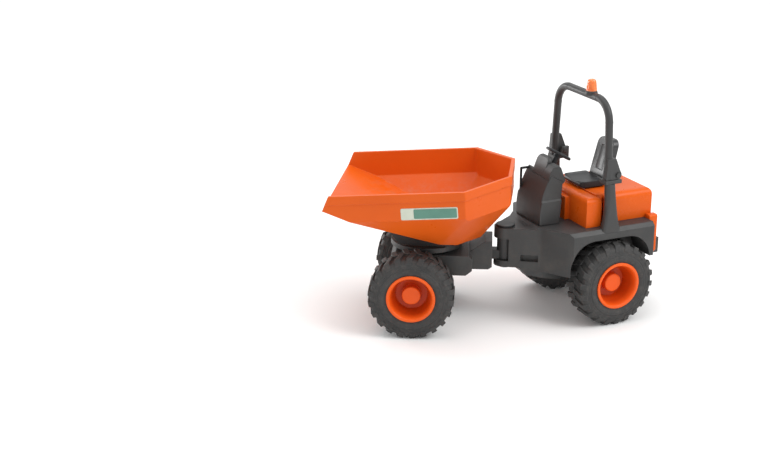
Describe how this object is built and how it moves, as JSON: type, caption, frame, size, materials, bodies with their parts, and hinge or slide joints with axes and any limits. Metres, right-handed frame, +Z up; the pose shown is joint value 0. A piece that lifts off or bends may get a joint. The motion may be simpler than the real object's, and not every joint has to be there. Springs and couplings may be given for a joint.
{
  "type": "toy articulated swivel-skip dumper",
  "caption": "Toy articulated site dumper with a swivelling, tipping open skip, folding roll bar, driver seat and treaded wheels.",
  "frame": {"origin": "on the ground under the middle of the box, steered as parked", "axes": "+X forward along the rear frame, +Y to its left, +Z up"},
  "size_m": [0.2845, 0.1798, 0.194],
  "materials": {
    "orange_plastic": "smooth moulded orange",
    "grey_plastic": "satin moulded dark grey",
    "black_plastic": "satin moulded black",
    "tyre": "soft moulded tyre compound",
    "beacon_lens": "glossy orange lens"
  },
  "bodies": {
    "rear_frame": {"rear_chassis": "grey_plastic", "belly_pan": "grey_plastic", "pivot_pin": "black_plastic", "rear_axle": "grey_plastic", "dash_console": "grey_plastic", "dash_cowl": "grey_plastic", "control_box": "grey_plastic", "grab_handle": "black_plastic", "steering_column": "black_plastic", "steering_wheel": "black_plastic", "engine_cover": "orange_plastic", "seat_pedestal": "black_plastic", "seat_cushion": "black_plastic", "seat_back": "black_plastic", "rear_panel": "orange_plastic", "rear_bumper": "grey_plastic", "rollbar_post_left": "grey_plastic", "rollbar_post_right": "grey_plastic"},
    "rollbar": {"rollbar_hoop": "grey_plastic", "beacon": "beacon_lens"},
    "front_frame": {"front_chassis": "grey_plastic", "front_axle": "grey_plastic", "turntable_ring": "grey_plastic"},
    "swivel": {"skip_carrier": "grey_plastic", "tip_pin": "black_plastic"},
    "skip": {"skip_tub": "orange_plastic", "skip_hinge_lugs": "grey_plastic"},
    "wheel_front_left": {"tyre_front_left": "tyre", "rim_front_left": "orange_plastic"},
    "wheel_front_right": {"tyre_front_right": "tyre", "rim_front_right": "orange_plastic"},
    "wheel_rear_left": {"tyre_rear_left": "tyre", "rim_rear_left": "orange_plastic"},
    "wheel_rear_right": {"tyre_rear_right": "tyre", "rim_rear_right": "orange_plastic"}
  },
  "joints": [
    {"name": "steer", "type": "hinge", "parent": "rear_frame", "child": "front_frame", "pos_m": [-0.00987, 0.03308, 0.059], "axis": [0, 0, 1], "range_deg": [-6.5, 63.5]},
    {"name": "skip_swivel", "type": "hinge", "parent": "front_frame", "child": "swivel", "pos_m": [0.0455, 0.00302, 0.064], "axis": [0, 0, 1], "range_deg": [-86.5, 93.5]},
    {"name": "skip_tip", "type": "hinge", "parent": "swivel", "child": "skip", "pos_m": [0.06543, -0.00943, 0.078], "axis": [0.5299, 0.848, 0], "range_deg": [0, 50]},
    {"name": "rollbar_fold", "type": "hinge", "parent": "rear_frame", "child": "rollbar", "pos_m": [-0.08487, 0.03308, 0.123], "axis": [0, -1, 0], "range_deg": [0, 100]},
    {"name": "wheel_front_left_spin", "type": "hinge", "parent": "front_frame", "child": "wheel_front_left", "pos_m": [0.07504, 0.03648, 0.034], "axis": [0.4772, 0.8788, 0], "continuous": true},
    {"name": "wheel_front_right_spin", "type": "hinge", "parent": "front_frame", "child": "wheel_front_right", "pos_m": [0.03353, -0.03998, 0.034], "axis": [0.4772, 0.8788, 0], "continuous": true},
    {"name": "wheel_rear_left_spin", "type": "hinge", "parent": "rear_frame", "child": "wheel_rear_left", "pos_m": [-0.08287, 0.07658, 0.034], "axis": [0, 1, 0], "continuous": true},
    {"name": "wheel_rear_right_spin", "type": "hinge", "parent": "rear_frame", "child": "wheel_rear_right", "pos_m": [-0.08287, -0.01042, 0.034], "axis": [0, 1, 0], "continuous": true}
  ]
}
